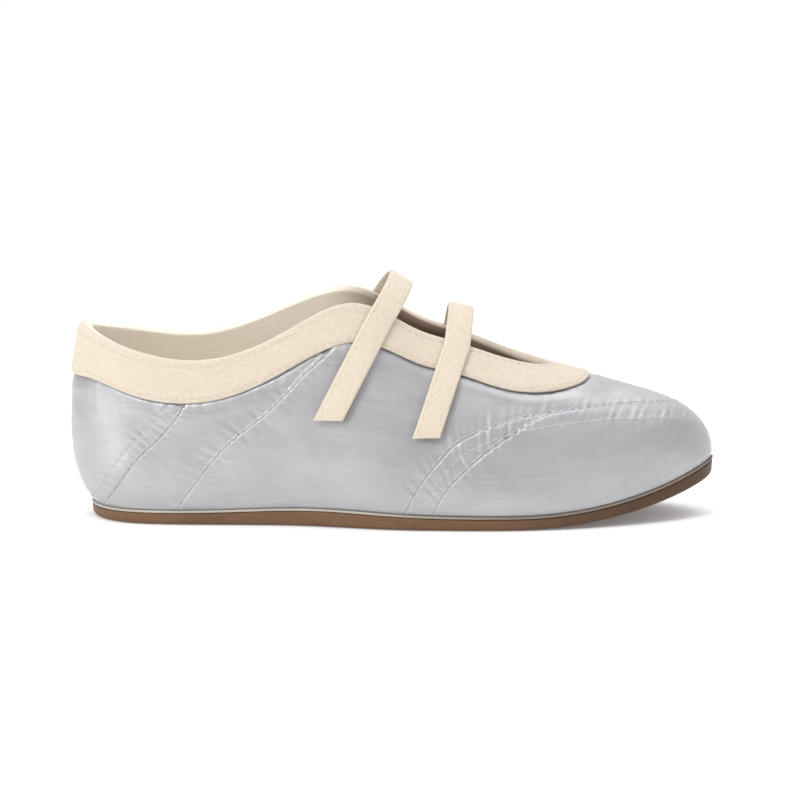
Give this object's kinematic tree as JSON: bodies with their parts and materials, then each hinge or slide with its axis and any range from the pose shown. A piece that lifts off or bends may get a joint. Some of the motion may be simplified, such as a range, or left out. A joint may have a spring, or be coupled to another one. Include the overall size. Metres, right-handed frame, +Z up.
{
  "type": "ballet slipper",
  "caption": "Low satin ballet slipper with a thin sole, padded seamed upper, ribbed topline binding and hook-and-loop instep straps that peel open and lift off.",
  "frame": {"origin": "on the ground, under the middle of the shoe's length and width", "axes": "+X towards the toe, -Y the outer (lateral) side of this right shoe, +Z up"},
  "size_m": [0.2502, 0.0841, 0.0955],
  "materials": {
    "satin": "satin",
    "binding_webbing": "matte",
    "strap_webbing": "matte",
    "outsole_rubber": "matte",
    "midsole_board": "matte",
    "lining_fabric": "matte",
    "sock_fabric": "matte",
    "foam": "matte",
    "stiffener_board": "matte",
    "insole_fibreboard": "matte",
    "cork_filler": "matte",
    "shank_steel": "satin",
    "hook_tape": "matte",
    "loop_tape": "matte"
  },
  "bodies": {
    "shoe": {"bottom_filler": "cork_filler", "foam_insole": "foam", "foam_interlining": "foam", "forefoot_strip_lateral": "satin", "forefoot_strip_medial": "satin", "front_strap_anchor": "strap_webbing", "front_strap_loop_patch": "loop_tape", "heel_counter": "stiffener_board", "heel_lining": "lining_fabric", "heel_panel": "satin", "insole_board": "insole_fibreboard", "midsole": "midsole_board", "outsole": "outsole_rubber", "quarter_lining_lateral": "lining_fabric", "quarter_lining_medial": "lining_fabric", "quarter_panel_lateral": "satin", "quarter_panel_medial": "satin", "rear_strap_anchor": "strap_webbing", "rear_strap_loop_patch": "loop_tape", "shank": "shank_steel", "sock_liner": "sock_fabric", "toe_panel": "satin", "toe_puff": "stiffener_board", "topline_binding": "binding_webbing", "vamp_lining": "lining_fabric", "vamp_panel": "satin"},
    "rear_strap": {"rear_strap_band": "strap_webbing"},
    "rear_strap_tab": {"rear_strap_tab": "strap_webbing", "rear_strap_hook_patch": "hook_tape"},
    "front_strap": {"front_strap_band": "strap_webbing"},
    "front_strap_tab": {"front_strap_tab": "strap_webbing", "front_strap_hook_patch": "hook_tape"}
  },
  "joints": [
    {"name": "rear_strap_lift", "type": "hinge", "parent": "shoe", "child": "rear_strap", "pos_m": [-0.00405, 0.02647, 0.08017], "axis": [-0.8999, 0.0958, 0.4254], "range_deg": [0, 130]},
    {"name": "rear_strap_tab_peel", "type": "hinge", "parent": "rear_strap", "child": "rear_strap_tab", "pos_m": [-0.00404, -0.02628, 0.08022], "axis": [-0.9, -0.1044, 0.4232], "range_deg": [0, 130]},
    {"name": "front_strap_lift", "type": "hinge", "parent": "shoe", "child": "front_strap", "pos_m": [0.02517, 0.0227, 0.06899], "axis": [-0.9514, 0.0533, 0.3033], "range_deg": [0, 130]},
    {"name": "front_strap_tab_peel", "type": "hinge", "parent": "front_strap", "child": "front_strap_tab", "pos_m": [0.02519, -0.0223, 0.069], "axis": [-0.9497, -0.082, 0.3021], "range_deg": [0, 130]}
  ]
}
